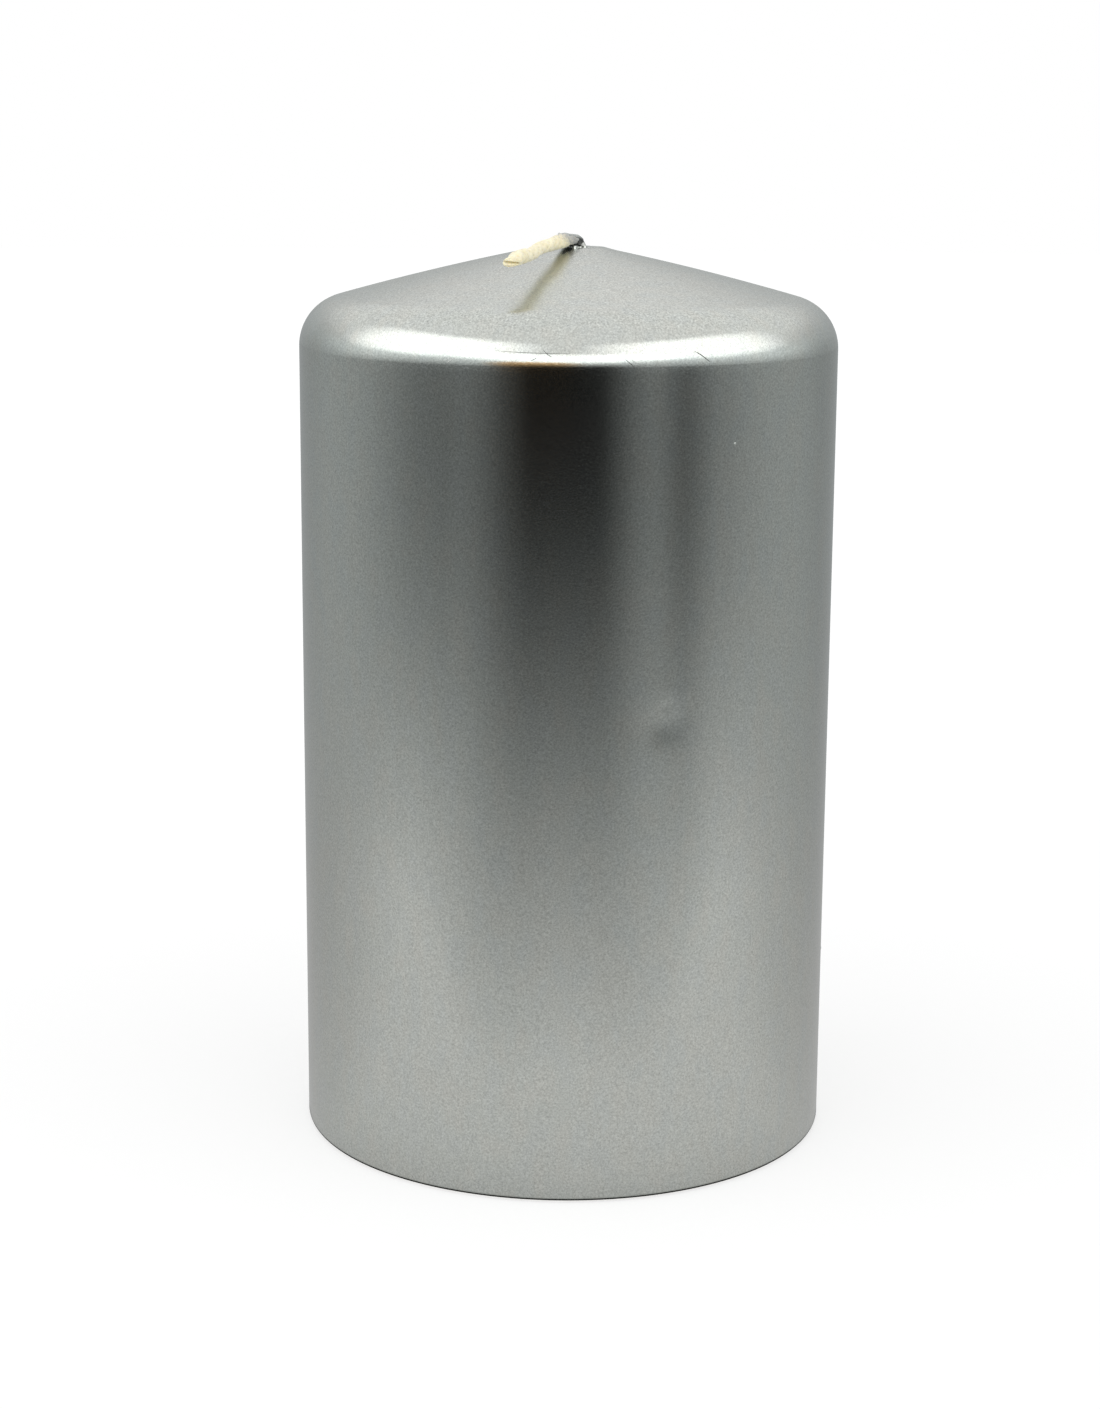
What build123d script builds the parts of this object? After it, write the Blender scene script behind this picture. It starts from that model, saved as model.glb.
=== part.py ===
from build123d import *
import os
from math import asin, atan2, cos, degrees, hypot, pi, radians, sin, sqrt

# A metallic pillar candle, 70 mm across and about 120 mm tall. +Z is up, and the origin is the middle of the
# base. A core of pressed wax wears a dipped jacket of hard wax and a skin of silver lacquer. A cotton wick
# stands in a drilled channel, held at the base by a crimped tinplate sustainer. Above the crown the wick is
# folded over towards the front left, and its free end turns about a hinge in that fold.

# Body: driving dimensions, in millimetres
BODY_RADIUS = 35.0
TIP_HEIGHT = 118.0  # where the crown would meet the axis
CORNER_HEIGHT = 109.5  # where the crown would meet the side wall
CROWN_RADIUS = 350.0  # of the crown's slight bulge between those two points
SHOULDER_RADIUS = 6.7
TIP_FLAT_HEIGHT = 117.2  # the very tip is flattened around the wick
BASE_EDGE_RADIUS = 0.8

# Layers of the body, from outside to inside
LACQUER_THICKNESS = 0.2
LACQUER_START_HEIGHT = 0.2  # the lacquer stops on the rounded base edge, clear of the table
JACKET_THICKNESS = 1.3

# Drilled channel, with its wider pocket and recess at the base
CHANNEL_RADIUS = 1.3
POCKET_RADIUS = 2.0
POCKET_DEPTH = 6.5
RECESS_RADIUS = 8.0
RECESS_DEPTH = 1.0
WICK_HOLE_RADIUS = 1.1  # through the jacket and the lacquer

# Wick
WICK_RADIUS = 0.95
WICK_X = 1.0  # the channel is drilled a little off the axis
WICK_STEM_TOP = 117.3
WICK_FOLD_START = 117.39  # height at which the wick begins to fold over
WICK_FOLD_RADIUS = 1.3  # of the wick's centre line
WICK_AZIMUTH = radians(72.5)  # of the free end, from -X towards -Y
WICK_DROOP = radians(5.2)  # of the free end, below the horizontal
WICK_STRAIGHT = 26.2  # free length beyond the fold
WICK_CUT_LEAN = 35.0  # degrees by which the snipped end leans from square
WASTE_SIZE = 8.0  # of the block that snips the end

# Lacquer that has dried around the wick's root and on its first millimetres
BEAD_INNER_RADIUS = 1.0
BEAD_OUTER_RADIUS = 2.3
BEAD_HEIGHT = 0.3
BEAD_SAG = 0.4  # share of the bead's height at the middle of its width
SLEEVE_THICKNESS = 0.1
SLEEVE_LENGTH = 2.0

# Sustainer
DISC_RADIUS = 7.5
TINPLATE = 0.3
NECK_RADIUS = 1.35
NECK_BORE_RADIUS = 1.0
NECK_HEIGHT = 5.0  # above the disc
CRIMP_DEPTH = 0.15  # of the waist that grips the wick
CRIMP_LENGTH = 1.2
CRIMP_SLOPE = 0.6  # length of the taper at each end of the waist

ON_BASE = (Align.CENTER, Align.CENTER, Align.MIN)


def crown_circle():
    """Centre (r, z) of the crown's arc, which runs from the tip on the axis to the corner at the wall."""
    drop = TIP_HEIGHT - CORNER_HEIGHT
    half_turn = asin(hypot(BODY_RADIUS, drop) / 2 / CROWN_RADIUS)
    tip_slope = atan2(drop, BODY_RADIUS) - half_turn
    return -CROWN_RADIUS * sin(tip_slope), TIP_HEIGHT - CROWN_RADIUS * cos(tip_slope)


def shoulder_circle():
    """Centre (r, z) of the shoulder's arc, tangent to the wall and to the crown."""
    crown_r, crown_z = crown_circle()
    centre_r = BODY_RADIUS - SHOULDER_RADIUS
    reach = CROWN_RADIUS - SHOULDER_RADIUS
    return centre_r, crown_z + sqrt(reach**2 - (centre_r - crown_r) ** 2)


def arc_between(centre, radius, start, end):
    """Arc about centre between two angles, in radians."""
    angles = (start, (start + end) / 2, end)
    points = [(centre[0] + radius * cos(angle), centre[1] + radius * sin(angle)) for angle in angles]
    return ThreePointArc(*points)


def body_inside(inset, edge_radius):
    """Solid of all that lies at least inset below the candle's outer surface, down to the base plane."""
    crown = crown_circle()
    shoulder = shoulder_circle()
    flat_z = TIP_FLAT_HEIGHT - inset
    join_angle = atan2(shoulder[1] - crown[1], shoulder[0] - crown[0])
    flat_angle = asin((flat_z - crown[1]) / (CROWN_RADIUS - inset))
    edge_centre = (BODY_RADIUS - inset - edge_radius, edge_radius)
    outline = [Line((0, 0), (edge_centre[0], 0))]
    if edge_radius > 0:
        outline.append(arc_between(edge_centre, edge_radius, -pi / 2, 0.0))
    shoulder_arc = arc_between(shoulder, SHOULDER_RADIUS - inset, 0.0, join_angle)
    crown_arc = arc_between(crown, CROWN_RADIUS - inset, join_angle, flat_angle)
    outline.append(Line(outline[-1] @ 1, shoulder_arc @ 0))
    outline += [shoulder_arc, crown_arc]
    outline.append(Line(crown_arc @ 1, (0, flat_z)))
    outline.append(Line((0, flat_z), (0, 0)))
    return revolve(Plane.XZ * make_face(outline), Axis.Z)


def on_channel(radius, bottom, top):
    """Cylinder on the channel's line, between two heights."""
    return Pos(WICK_X, 0, bottom) * Cylinder(radius, top - bottom, align=ON_BASE)


def make_wax_core():
    core = body_inside(LACQUER_THICKNESS + JACKET_THICKNESS, 0.0)
    core -= on_channel(CHANNEL_RADIUS, 0, TIP_HEIGHT)
    core -= on_channel(POCKET_RADIUS, 0, POCKET_DEPTH)
    return core - on_channel(RECESS_RADIUS, 0, RECESS_DEPTH)


def make_wax_jacket():
    jacket = body_inside(LACQUER_THICKNESS, BASE_EDGE_RADIUS)
    jacket -= body_inside(LACQUER_THICKNESS + JACKET_THICKNESS, 0.0)
    return jacket - on_channel(WICK_HOLE_RADIUS, CORNER_HEIGHT, TIP_HEIGHT)


def make_lacquer_coat():
    coat = body_inside(0.0, BASE_EDGE_RADIUS) - body_inside(LACQUER_THICKNESS, BASE_EDGE_RADIUS)
    coat -= Cylinder(2 * BODY_RADIUS, LACQUER_START_HEIGHT, align=ON_BASE)
    return coat - on_channel(WICK_HOLE_RADIUS, CORNER_HEIGHT, TIP_HEIGHT)


def make_lacquer_bead():
    """Low ring of lacquer that has crept up around the wick's root."""
    inner_foot = (BEAD_INNER_RADIUS, TIP_FLAT_HEIGHT)
    inner_top = (BEAD_INNER_RADIUS, TIP_FLAT_HEIGHT + BEAD_HEIGHT)
    outer_foot = (BEAD_OUTER_RADIUS, TIP_FLAT_HEIGHT)
    middle = ((BEAD_INNER_RADIUS + BEAD_OUTER_RADIUS) / 2, TIP_FLAT_HEIGHT + BEAD_SAG * BEAD_HEIGHT)
    outline = [
        Line(inner_foot, outer_foot),
        ThreePointArc(outer_foot, middle, inner_top),
        Line(inner_top, inner_foot),
    ]
    return Pos(WICK_X, 0, 0) * revolve(Plane.XZ * make_face(outline), Axis.Z)


def make_wick_sustainer():
    """Tinplate disc with a neck, crimped at mid height on to the wick."""
    crimp_bottom = RECESS_DEPTH + (NECK_HEIGHT - CRIMP_LENGTH) / 2
    crimp_top = crimp_bottom + CRIMP_LENGTH
    section = [
        (NECK_BORE_RADIUS, RECESS_DEPTH - TINPLATE),
        (DISC_RADIUS, RECESS_DEPTH - TINPLATE),
        (DISC_RADIUS, RECESS_DEPTH),
        (NECK_RADIUS + TINPLATE, RECESS_DEPTH),
        (NECK_RADIUS, RECESS_DEPTH + TINPLATE),
        (NECK_RADIUS, crimp_bottom - CRIMP_SLOPE),
        (NECK_RADIUS - CRIMP_DEPTH, crimp_bottom),
        (NECK_RADIUS - CRIMP_DEPTH, crimp_top),
        (NECK_RADIUS, crimp_top + CRIMP_SLOPE),
        (NECK_RADIUS, RECESS_DEPTH + NECK_HEIGHT),
        (NECK_BORE_RADIUS, RECESS_DEPTH + NECK_HEIGHT),
    ]
    face = make_face(Polyline(*section, close=True))
    return Pos(WICK_X, 0, 0) * revolve(Plane.XZ * face, Axis.Z)


def wick_fold():
    """The fold's hinge point, a plane at the free end's root (Z along the wick, X level), and how far from
    that root the fold ends."""
    outward = Vector(-cos(WICK_AZIMUTH), -sin(WICK_AZIMUTH), 0)
    upward = Vector(0, 0, 1)
    direction = outward * cos(WICK_DROOP) - upward * sin(WICK_DROOP)
    square_up = upward * cos(WICK_DROOP) + outward * sin(WICK_DROOP)
    half_turn = (pi / 2 + WICK_DROOP) / 2
    # At this reach from the fold's centre, straightening the wick about the hinge keeps the wick's length.
    hinge_reach = WICK_FOLD_RADIUS * half_turn / sin(half_turn)
    fold_centre = Vector(WICK_X, 0, WICK_FOLD_START) + outward * WICK_FOLD_RADIUS
    hinge = fold_centre + (upward * sin(half_turn) - outward * cos(half_turn)) * hinge_reach
    root = hinge + square_up * (WICK_FOLD_RADIUS - hinge_reach * cos(half_turn))
    frame = Plane(origin=root, x_dir=upward.cross(direction), z_dir=direction)
    return hinge, frame, hinge_reach * sin(half_turn)


def make_wick_stem():
    """The wick inside the candle, from the sustainer up to just below the fold."""
    return on_channel(WICK_RADIUS, RECESS_DEPTH - TINPLATE, WICK_STEM_TOP)


def make_wick_end():
    """The free end: round at its root, where it turns, and snipped at a slant."""
    _, frame, fold_end = wick_fold()
    length = fold_end + WICK_STRAIGHT
    end = Cylinder(WICK_RADIUS, length, align=ON_BASE) + Sphere(WICK_RADIUS)
    end -= Pos(0, 0, length) * Rot(WICK_CUT_LEAN, 0, 0) * Box(WASTE_SIZE, WASTE_SIZE, WASTE_SIZE, align=ON_BASE)
    return frame * end


def make_wick_sleeve():
    """Lacquer that has dried on the first millimetres of the free end."""
    _, frame, fold_end = wick_fold()
    sleeve = Cylinder(WICK_RADIUS + SLEEVE_THICKNESS, SLEEVE_LENGTH, align=ON_BASE)
    sleeve -= Cylinder(WICK_RADIUS, SLEEVE_LENGTH, align=ON_BASE)
    return frame * Pos(0, 0, fold_end) * sleeve


PARTS = {
    "wax_core": make_wax_core,
    "wax_jacket": make_wax_jacket,
    "lacquer_coat": make_lacquer_coat,
    "lacquer_bead": make_lacquer_bead,
    "wick_sustainer": make_wick_sustainer,
    "wick_stem": make_wick_stem,
    "wick_end": make_wick_end,
    "wick_sleeve": make_wick_sleeve,
}

os.makedirs("parts", exist_ok=True)
for name, make in PARTS.items():
    export_step(make(), f"parts/{name}.step")

# The joint and the holder's mount are stated from these.
print("hinge point", [round(value, 4) for value in wick_fold()[0]])
print("hinge axis", [round(-sin(WICK_AZIMUTH), 6), round(cos(WICK_AZIMUTH), 6), 0])
print("hinge travel to upright", round(90 + degrees(WICK_DROOP), 2))
print("straight wall from", BASE_EDGE_RADIUS, "to", round(shoulder_circle()[1], 3))
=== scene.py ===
import math
import random

import bmesh
import bpy
import numpy as np
from mathutils import Matrix, Vector, noise


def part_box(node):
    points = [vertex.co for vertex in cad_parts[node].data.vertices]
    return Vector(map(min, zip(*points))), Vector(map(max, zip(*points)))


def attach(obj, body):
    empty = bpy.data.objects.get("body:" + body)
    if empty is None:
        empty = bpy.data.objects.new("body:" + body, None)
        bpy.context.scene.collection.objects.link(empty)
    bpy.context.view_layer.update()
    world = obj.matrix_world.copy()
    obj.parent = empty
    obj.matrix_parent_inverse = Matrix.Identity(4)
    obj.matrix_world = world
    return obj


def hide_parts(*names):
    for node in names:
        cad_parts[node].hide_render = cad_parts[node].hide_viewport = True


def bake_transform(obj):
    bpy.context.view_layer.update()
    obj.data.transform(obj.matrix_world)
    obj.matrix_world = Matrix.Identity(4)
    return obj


# The look of a silver-lacquered pillar candle: a sprayed and slightly marked skin, a plaited cotton wick
# that is folded over and lacquered at its root, and the wax and tinplate under the base. Lengths are in
# metres, bearings are in degrees from the front, positive to the right, and heights are above the table.

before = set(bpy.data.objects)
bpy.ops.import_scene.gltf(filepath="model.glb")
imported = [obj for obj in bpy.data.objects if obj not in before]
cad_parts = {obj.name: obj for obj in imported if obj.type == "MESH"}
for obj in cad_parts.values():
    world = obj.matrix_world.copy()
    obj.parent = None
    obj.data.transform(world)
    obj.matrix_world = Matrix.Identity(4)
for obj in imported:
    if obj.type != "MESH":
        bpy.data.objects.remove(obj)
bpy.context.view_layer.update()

MM = 0.001
WHITE = (1, 1, 1, 1)


def corner(node, end):
    """Lowest (0) or highest (1) corner of a CAD node."""
    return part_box(node)[end]


# Body, from the frame and the CAD model's own radii
BODY_RADIUS = corner("lacquer_coat", 1).y
COAT_BOTTOM = corner("lacquer_coat", 0).z
FLAT_TOP = corner("lacquer_coat", 1).z
COAT_THICKNESS = BODY_RADIUS - corner("wax_jacket", 1).y
TIP_HEIGHT = 118.0 * MM
CORNER_HEIGHT = 109.5 * MM
CROWN_RADIUS = 350.0 * MM
SHOULDER_RADIUS = 6.7 * MM
BASE_EDGE_RADIUS = 0.8 * MM

# Wick, likewise
WICK_RADIUS = (corner("wick_stem", 1).y - corner("wick_stem", 0).y) / 2
WICK_X = (corner("wick_stem", 1).x + corner("wick_stem", 0).x) / 2
WICK_BOTTOM = corner("wick_stem", 0).z
WICK_AZIMUTH = math.radians(72.5)


# ---------------------------------------------------------------- camera

CAMERA_DISTANCE = 345.3 * MM
CAMERA_HEIGHT = 130.3 * MM
CAMERA_PITCH = math.radians(12.05)
CAMERA_HEADING = math.radians(-0.35)
CAMERA_ROLL = math.radians(-0.377)
CAMERA_LENS = 67.19
CAMERA_CLIP = (0.01, 20.0)


def make_camera():
    data = bpy.data.cameras.new("camera")
    data.lens = CAMERA_LENS
    data.clip_start, data.clip_end = CAMERA_CLIP
    camera = bpy.data.objects.new("camera", data)
    bpy.context.collection.objects.link(camera)
    level = Vector((math.sin(CAMERA_HEADING), math.cos(CAMERA_HEADING), 0))
    right = Vector((level.y, -level.x, 0))
    ahead = level * math.cos(CAMERA_PITCH) - Vector((0, 0, 1)) * math.sin(CAMERA_PITCH)
    up = right.cross(ahead)
    rolled_right = right * math.cos(CAMERA_ROLL) - up * math.sin(CAMERA_ROLL)
    rolled_up = up * math.cos(CAMERA_ROLL) + right * math.sin(CAMERA_ROLL)
    turn = Matrix((rolled_right, rolled_up, -ahead)).transposed()
    place = Matrix.Translation((0, -CAMERA_DISTANCE, CAMERA_HEIGHT))
    camera.matrix_world = place @ turn.to_4x4()
    bpy.context.scene.camera = camera


make_camera()


# ---------------------------------------------------------------- node helpers


class Nodes:
    """Short way to build a node tree: n = Nodes(tree), then n(kind, inputs, setting=value) for a node."""

    def __init__(self, tree):
        self.tree = tree
        tree.nodes.clear()

    def __call__(self, kind, inputs=None, **settings):
        node = self.tree.nodes.new(kind)
        for key, value in settings.items():
            setattr(node, key, value)
        for key, value in (inputs or {}).items():
            self.put(value, node.inputs[key])
        return node

    def put(self, value, socket):
        if isinstance(value, bpy.types.NodeSocket):
            self.tree.links.new(value, socket)
        else:
            socket.default_value = value

    def math(self, operation, *values):
        return self("ShaderNodeMath", dict(enumerate(values)), operation=operation).outputs[0]

    def remap(self, value, low, high, to_low=0.0, to_high=1.0, smooth=True):
        kind = "SMOOTHSTEP" if smooth else "LINEAR"
        inputs = {"Value": value, "From Min": low, "From Max": high, "To Min": to_low, "To Max": to_high}
        return self("ShaderNodeMapRange", inputs, interpolation_type=kind).outputs[0]

    def blend(self, share, first, second):
        """Mix of two numbers."""
        return self("ShaderNodeMix", {0: share, 2: first, 3: second}, data_type="FLOAT").outputs[0]

    def mix(self, share, first, second):
        """Mix of two colours."""
        return self("ShaderNodeMix", {0: share, 6: first, 7: second}, data_type="RGBA").outputs[2]

    def scaled(self, colour, factor):
        return self("ShaderNodeVectorMath", {0: colour, "Scale": factor}, operation="SCALE").outputs[0]

    def place(self, kind="Object"):
        return self("ShaderNodeTexCoord").outputs[kind]

    def stretched(self, place, scale):
        return self("ShaderNodeMapping", {"Vector": place, "Scale": scale}).outputs[0]

    def noise(self, place, scale, detail, roughness=0.5):
        inputs = {"Vector": place, "Scale": scale, "Detail": detail, "Roughness": roughness}
        return self("ShaderNodeTexNoise", inputs).outputs[0]

    def vertex_value(self, name):
        return self("ShaderNodeAttribute", attribute_name=name).outputs["Fac"]

    def bump(self, height, strength, distance):
        inputs = {"Strength": strength, "Distance": distance, "Height": height}
        return self("ShaderNodeBump", inputs).outputs[0]

    def principled(self, inputs):
        self.output(self("ShaderNodeBsdfPrincipled", inputs))

    def output(self, surface, kind="ShaderNodeOutputMaterial"):
        self(kind, {0: surface.outputs[0]})


def new_material(name):
    material = bpy.data.materials.new(name)
    material.use_nodes = True
    return material, Nodes(material.node_tree)


# ---------------------------------------------------------------- studio

# What the lacquer mirrors is a white tent with an open, dark front, where the camera looks in. A lamp
# lies across the top of the opening, and a bigger one stands at each side of it. Angles are in degrees,
# azimuth 0 is the front, light 1.0 is white, and a pair of angles is where a change starts and ends.

# (azimuth, light) at the level of the candle
LEVEL_LIGHT = [
    (-180, 0.35), (-140, 0.36), (-115, 0.41), (-90, 0.345), (-72, 0.23), (-55, 0.165), (-42, 0.165),
    (-30, 0.09), (-18, 0.012), (-5, 0.0), (5, 0.0), (16, 0.025), (25, 0.12), (36, 0.19), (49, 0.11),
    (62, 0.22), (72, 0.285), (90, 0.37), (115, 0.385), (135, 0.33), (180, 0.35),
]
# (elevation, light) of the wall behind the candle, and where it takes over from the sides
BACK_LIGHT = [(0, 0.45), (12, 0.53), (20, 0.65), (28, 0.88), (36, 0.96), (60, 1.0), (90, 1.0)]
BEHIND = (85.0, 140.0)
# Azimuths over which the opening gives way to the tent's sides, and elevations of its upper edge
OPENING_MIDDLE = (12.0, 42.0)
OPENING_TOP_MIDDLE = (-3.0, 6.5)
OPENING_TOP_SIDE = (-10.0, 11.0)
# The tent is slightly cooler low down
COOL_COLOUR = (0.955, 1.0, 1.01, 1)
COOL_TOP = (8.0, 22.0)
# Azimuth, elevation, half width, half height and light of each lamp, and of a warm spot at the front
LAMPS = [
    (0.0, 14.0, 40.0, 8.0, 1.0),
    (-63.0, 29.0, 42.0, 18.0, 1.0),
    (59.0, 28.0, 41.0, 17.5, 0.9),
]
LAMP_EDGE = (0.1, 1.9)
WARM_GLOW = (-14.0, 1.5, 17.0, 5.0, 0.95)
WARM_COLOUR = (1.0, 0.62, 0.28, 1)


def tent_angles(n, vector):
    """Azimuth and elevation of a direction in degrees, and its x, y and z."""
    part = n("ShaderNodeSeparateXYZ", {0: vector}).outputs
    azimuth = n.math("ARCTAN2", part[0], n.math("MULTIPLY", part[1], -1.0))
    elevation = n.math("ARCSINE", part[2])
    azimuth, elevation = (n.math("MULTIPLY", angle, math.degrees(1)) for angle in (azimuth, elevation))
    return azimuth, elevation, part


def curve_of(n, value, stops):
    """Smooth curve of value through (value, result) stops."""
    low, high = stops[0][0], stops[-1][0]
    ramp_node = n("ShaderNodeValToRGB", {0: n.remap(value, low, high, smooth=False)})
    ramp = ramp_node.color_ramp
    ramp.interpolation = "CARDINAL"
    while len(ramp.elements) < len(stops):
        ramp.elements.new(0.5)
    for element, (place, result) in zip(ramp.elements, stops):
        element.position = (place - low) / (high - low)
        element.color = (result, result, result, 1)
    return n("ShaderNodeSeparateColor", {0: ramp_node.outputs[0]}).outputs[0]


def lamp_glow(n, azimuth, elevation, lamp):
    """A lamp's light inside its rounded outline and none outside it, with a soft edge."""
    middle_azimuth, middle_elevation, half_width, half_height, light = lamp
    across = n.math("DIVIDE", n.math("SUBTRACT", azimuth, middle_azimuth), half_width)
    up = n.math("DIVIDE", n.math("SUBTRACT", elevation, middle_elevation), half_height)
    distance = n.math("ADD", n.math("POWER", across, 2.0), n.math("POWER", up, 4.0))
    return n.math("MULTIPLY", n.remap(distance, *LAMP_EDGE, 1.0, 0.0), light)


def make_world():
    world = bpy.data.worlds.new("tent")
    bpy.context.scene.world = world
    world.use_nodes = True
    n = Nodes(world.node_tree)
    azimuth, elevation, _ = tent_angles(n, n.place("Generated"))
    from_front = n.math("ABSOLUTE", azimuth)
    level = curve_of(n, azimuth, LEVEL_LIGHT)
    back = curve_of(n, n.math("MAXIMUM", elevation, 0.0), BACK_LIGHT)
    upper = n.blend(n.remap(from_front, *BEHIND), 1.0, back)
    sideways = n.remap(from_front, *OPENING_MIDDLE)
    middle_rise = n.remap(elevation, *OPENING_TOP_MIDDLE)
    side_rise = n.remap(elevation, *OPENING_TOP_SIDE)
    light = n.blend(n.blend(sideways, middle_rise, side_rise), level, upper)
    for lamp in LAMPS:
        light = n.math("ADD", light, lamp_glow(n, azimuth, elevation, lamp))
    tent = n.mix(n.remap(elevation, *COOL_TOP), COOL_COLOUR, WHITE)
    warm = n.mix(lamp_glow(n, azimuth, elevation, WARM_GLOW), tent, WARM_COLOUR)
    seen = n("ShaderNodeLightPath").outputs["Is Camera Ray"]
    inputs = {"Color": n.mix(seen, warm, WHITE), "Strength": n.blend(seen, light, 1.0)}
    n.output(n("ShaderNodeBackground", inputs), "ShaderNodeOutputWorld")


FLOOR_RADIUS = 3.0
FLOOR_DROP = 0.05 * MM
FLOOR_COLOUR = (0.93, 0.93, 0.93, 1)
FLOOR_GLOW_SHARE = 0.6
CARD_RADIUS = 2.0
CARD_DROP = 0.1 * MM
DISC_SIDES = 96
# By azimuth: the mirrored floor's light near the candle, and how far out it holds, in metres
NEAR_FLOOR_LIGHT = [(0, 0.70), (65, 0.69), (85, 0.60), (105, 0.52), (125, 0.46), (180, 0.42)]
NEAR_FLOOR_REACH = [(0, 0.05), (35, 0.05), (60, 0.12), (95, 0.12), (120, 0.08), (150, 0.06), (180, 0.06)]
# Distance over which it then falls off
FLOOR_FALL = 200.0 * MM
# Shading of the floor next to the candle, and of the crevice under its rounded edge
CONTACT_SHADE = 0.2
CONTACT_REACH = 10.0 * MM
CREVICE_SHADE = 0.97
CREVICE_REACH = 0.25 * MM


def make_disc(name, radius, height):
    mesh = bpy.data.meshes.new(name)
    bm = bmesh.new()
    bmesh.ops.create_circle(bm, cap_ends=True, segments=DISC_SIDES, radius=radius)
    bmesh.ops.translate(bm, vec=(0, 0, height), verts=bm.verts)
    bm.to_mesh(mesh)
    bm.free()
    disc = bpy.data.objects.new(name, mesh)
    bpy.context.collection.objects.link(disc)
    return disc


def make_floor():
    """Pale floor that partly glows, so that it stays white around the candle's soft shadow."""
    floor = make_disc("floor", FLOOR_RADIUS, -FLOOR_DROP)
    material, n = new_material("pale_floor")
    lit = n("ShaderNodeBsdfDiffuse", {"Color": FLOOR_COLOUR})
    glow = n("ShaderNodeEmission", {"Color": WHITE, "Strength": 1.0})
    n.output(n("ShaderNodeMixShader", {0: FLOOR_GLOW_SHARE, 1: lit.outputs[0], 2: glow.outputs[0]}))
    material.cycles.emission_sampling = "NONE"
    floor.data.materials.append(material)
    floor.visible_glossy = False


def fall_off(n, distance, length):
    """1 at no distance, falling to nothing over some lengths."""
    return n.math("EXPONENT", n.math("DIVIDE", n.math("MAXIMUM", distance, 0.0), -length))


def make_floor_card():
    """The tent's floor as the lacquer mirrors it: light near the candle, darker by the open front."""
    card = make_disc("floor_card", CARD_RADIUS, -CARD_DROP)
    material, n = new_material("floor_card")
    azimuth, _, part = tent_angles(n, n.place())
    from_front = n.math("ABSOLUTE", azimuth)
    reach = n.math("SQRT", n.math("ADD", n.math("POWER", part[0], 2.0), n.math("POWER", part[1], 2.0)))
    away = n.math("SUBTRACT", reach, BODY_RADIUS)
    beyond = n.math("SUBTRACT", away, curve_of(n, from_front, NEAR_FLOOR_REACH))
    nearness = fall_off(n, beyond, FLOOR_FALL)
    near_light = curve_of(n, from_front, NEAR_FLOOR_LIGHT)
    light = n.blend(nearness, curve_of(n, azimuth, LEVEL_LIGHT), near_light)
    for length, share in ((CONTACT_REACH, CONTACT_SHADE), (CREVICE_REACH, CREVICE_SHADE)):
        shade = n.math("MULTIPLY", fall_off(n, away, length), share)
        light = n.math("MULTIPLY", light, n.math("SUBTRACT", 1.0, shade))
    n.output(n("ShaderNodeEmission", {"Color": n.mix(nearness, COOL_COLOUR, WHITE), "Strength": light}))
    material.cycles.emission_sampling = "NONE"
    card.data.materials.append(material)
    card.visible_camera = False
    card.visible_diffuse = False
    card.visible_shadow = False
    card.visible_transmission = False


make_world()
make_floor()
make_floor_card()
bpy.context.scene.view_settings.view_transform = "Standard"


# ---------------------------------------------------------------- mesh helpers


def mesh_object(name, vertices, faces, material):
    mesh = bpy.data.meshes.new(name)
    mesh.from_pydata(np.asarray(vertices).tolist(), [], faces)
    mesh.polygons.foreach_set("use_smooth", [True] * len(mesh.polygons))
    mesh.materials.append(material)
    mesh.update()
    thing = bpy.data.objects.new(name, mesh)
    bpy.context.collection.objects.link(thing)
    return thing


def ring_faces(rings, sides, closed, first=0):
    """Faces of a tube of rings. A closed one joins its last ring to its first."""
    faces = []
    for i in range(rings if closed else rings - 1):
        low, high = first + i * sides, first + (i + 1) % rings * sides
        for j in range(sides):
            k = (j + 1) % sides
            faces.append((low + j, low + k, high + k, high + j))
    return faces


class Pieces:
    """Several small closed meshes gathered into one."""

    def __init__(self):
        self.vertices = np.empty((0, 3))
        self.faces = []

    def tube(self, rings):
        """A tube through rings of points, with its two ends closed."""
        count, sides = rings.shape[:2]
        first = len(self.vertices)
        self.vertices = np.vstack([self.vertices, rings.reshape(-1, 3)])
        self.faces += ring_faces(count, sides, closed=False, first=first)
        last = first + (count - 1) * sides
        self.faces.append(tuple(first + j for j in reversed(range(sides))))
        self.faces.append(tuple(last + j for j in range(sides)))

    def loop(self, rings):
        """A tube whose last ring joins its first."""
        self.faces += ring_faces(*rings.shape[:2], closed=True, first=len(self.vertices))
        self.vertices = np.vstack([self.vertices, rings.reshape(-1, 3)])


def smooth_curve(points, at):
    """Catmull-Rom curve through (place, value) points, read at some places."""
    places, values = np.array(points).T
    slopes = np.gradient(values, places)
    i = np.clip(np.searchsorted(places, at) - 1, 0, len(places) - 2)
    span = places[i + 1] - places[i]
    t = (at - places[i]) / span
    start = (1 + 2 * t) * (1 - t) ** 2 * values[i] + t * (1 - t) ** 2 * span * slopes[i]
    return start + t**2 * (3 - 2 * t) * values[i + 1] + t**2 * (t - 1) * span * slopes[i + 1]


def smoothstep(value, low, high):
    t = np.clip((value - low) / (high - low), 0, 1)
    return t * t * (3 - 2 * t)


def bell(value, middle, width):
    return np.exp(-(((value - middle) / width) ** 2))


def turns(sides):
    """Angles of the points round a ring."""
    return np.linspace(0, 2 * math.pi, sides, endpoint=False)


def noise_at(points, scale=1):
    """Smooth noise, from -1 to 1, at each of the points."""
    return np.array([noise.noise(Vector(point) * scale) for point in points])


def tube_noise(turn, places, around, along):
    """Smooth noise at some angles round a tube and some places along it, at two scales."""
    return np.array([
        noise_at([(around * math.cos(t), around * math.sin(t), along * s) for t in turn]) for s in places
    ])


# ---------------------------------------------------------------- lacquer


# The drier, rougher spray of the crown takes over from the wall's between these heights
CROWN_SPRAY = (107.5 * MM, 110.5 * MM)
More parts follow.
